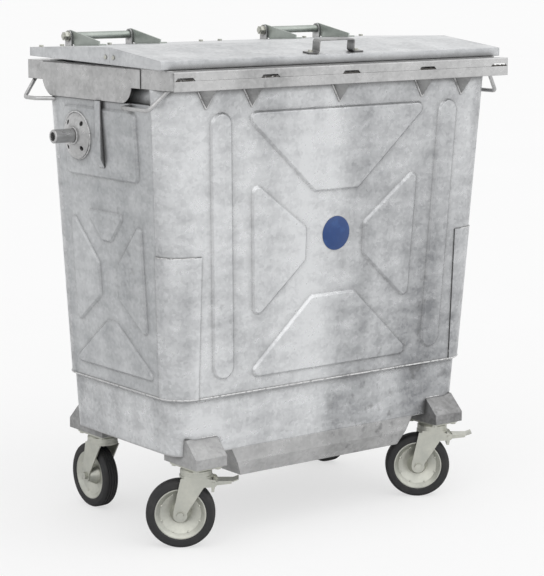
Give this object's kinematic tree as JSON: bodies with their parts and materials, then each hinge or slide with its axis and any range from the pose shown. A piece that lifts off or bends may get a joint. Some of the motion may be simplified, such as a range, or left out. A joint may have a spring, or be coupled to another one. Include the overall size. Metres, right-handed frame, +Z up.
{
  "type": "waste container",
  "caption": "Galvanised steel waste container with pressed tapered walls, a hinged lid, comb receiver, side trunnions and swivel castors with brakes.",
  "frame": {"origin": "on the floor, under the middle of the overall box", "axes": "+Z up, +X to the right seen from the front, +Y towards the hinge side; the comb receiver faces -Y"},
  "size_m": [1.37, 0.7796, 1.455],
  "materials": {
    "galvanised": "hot-dip galvanised sheet, satin with a faint spangle",
    "zinc_plated": "zinc-plated steel, slightly yellow and duller",
    "tyre": "solid black rubber, matt"
  },
  "bodies": {
    "container": {"carry_handle_front_left": "galvanised", "carry_handle_front_right": "galvanised", "carry_handle_rear_left": "galvanised", "carry_handle_rear_right": "galvanised", "castor_bolts": "zinc_plated", "castor_bracket_front_left": "galvanised", "castor_bracket_front_right": "galvanised", "castor_bracket_rear_left": "galvanised", "castor_bracket_rear_right": "galvanised", "castor_plate_front_left": "zinc_plated", "castor_plate_front_right": "zinc_plated", "castor_plate_rear_left": "zinc_plated", "castor_plate_rear_right": "zinc_plated", "comb_gussets": "galvanised", "comb_rail_lower": "galvanised", "comb_rail_upper": "galvanised", "corner_guards": "galvanised", "floor_pan": "galvanised", "front_wall": "galvanised", "hinge_bolts": "zinc_plated", "hinge_lugs": "galvanised", "left_wall": "galvanised", "rear_wall": "galvanised", "right_wall": "galvanised", "rim_frame": "galvanised", "side_stiffeners": "galvanised", "skirt_left": "galvanised", "skirt_right": "galvanised", "trunnion_flange_left": "galvanised", "trunnion_flange_right": "galvanised", "trunnion_left": "galvanised", "trunnion_right": "galvanised", "tub_wall": "galvanised"},
    "lid": {"hinge_arms": "zinc_plated", "hinge_tubes": "galvanised", "lid_bolts": "zinc_plated", "lid_front_panel": "galvanised", "lid_rear_panel": "galvanised", "lid_ridge_channel": "galvanised", "lid_rivets": "galvanised", "lid_side_splices": "galvanised", "lid_strap_handle": "galvanised"},
    "pedal_front_left": {"brake_pedal_front_left": "zinc_plated"},
    "pedal_front_right": {"brake_pedal_front_right": "zinc_plated"},
    "swivel_front_left": {"castor_axle_front_left": "zinc_plated", "castor_fork_front_left": "zinc_plated"},
    "swivel_front_right": {"castor_axle_front_right": "zinc_plated", "castor_fork_front_right": "zinc_plated"},
    "swivel_rear_left": {"castor_axle_rear_left": "zinc_plated", "castor_fork_rear_left": "zinc_plated"},
    "swivel_rear_right": {"castor_axle_rear_right": "zinc_plated", "castor_fork_rear_right": "zinc_plated"},
    "wheel_front_left": {"wheel_rim_front_left": "zinc_plated", "wheel_tyre_front_left": "tyre"},
    "wheel_front_right": {"wheel_rim_front_right": "zinc_plated", "wheel_tyre_front_right": "tyre"},
    "wheel_rear_left": {"wheel_rim_rear_left": "zinc_plated", "wheel_tyre_rear_left": "tyre"},
    "wheel_rear_right": {"wheel_rim_rear_right": "zinc_plated", "wheel_tyre_rear_right": "tyre"}
  },
  "joints": [
    {"name": "lid_hinge", "type": "hinge", "parent": "container", "child": "lid", "pos_m": [0, 0.365, 1.437], "axis": [-1, 0, 0], "range_deg": [0, 235]},
    {"name": "swivel_front_left", "type": "hinge", "parent": "container", "child": "swivel_front_left", "pos_m": [-0.452, -0.249, 0.2], "axis": [0, 0, 1], "continuous": true},
    {"name": "wheel_front_left", "type": "hinge", "parent": "swivel_front_left", "child": "wheel_front_left", "pos_m": [-0.488, -0.222, 0.1], "axis": [-0.6, -0.8, 0], "continuous": true},
    {"name": "pedal_front_left", "type": "hinge", "parent": "swivel_front_left", "child": "pedal_front_left", "pos_m": [-0.412, -0.279, 0.194], "axis": [0.6, 0.8, 0], "range_deg": [0, 15]},
    {"name": "swivel_front_right", "type": "hinge", "parent": "container", "child": "swivel_front_right", "pos_m": [0.452, -0.249, 0.2], "axis": [0, 0, 1], "continuous": true},
    {"name": "wheel_front_right", "type": "hinge", "parent": "swivel_front_right", "child": "wheel_front_right", "pos_m": [0.416, -0.222, 0.1], "axis": [-0.6, -0.8, 0], "continuous": true},
    {"name": "pedal_front_right", "type": "hinge", "parent": "swivel_front_right", "child": "pedal_front_right", "pos_m": [0.492, -0.279, 0.194], "axis": [0.6, 0.8, 0], "range_deg": [0, 15]},
    {"name": "swivel_rear_left", "type": "hinge", "parent": "container", "child": "swivel_rear_left", "pos_m": [-0.452, 0.24475, 0.2], "axis": [0, 0, 1], "continuous": true},
    {"name": "wheel_rear_left", "type": "hinge", "parent": "swivel_rear_left", "child": "wheel_rear_left", "pos_m": [-0.452, 0.28975, 0.1], "axis": [-1, 0, 0], "continuous": true},
    {"name": "swivel_rear_right", "type": "hinge", "parent": "container", "child": "swivel_rear_right", "pos_m": [0.452, 0.24475, 0.2], "axis": [0, 0, 1], "continuous": true},
    {"name": "wheel_rear_right", "type": "hinge", "parent": "swivel_rear_right", "child": "wheel_rear_right", "pos_m": [0.452, 0.28975, 0.1], "axis": [-1, 0, 0], "continuous": true}
  ]
}
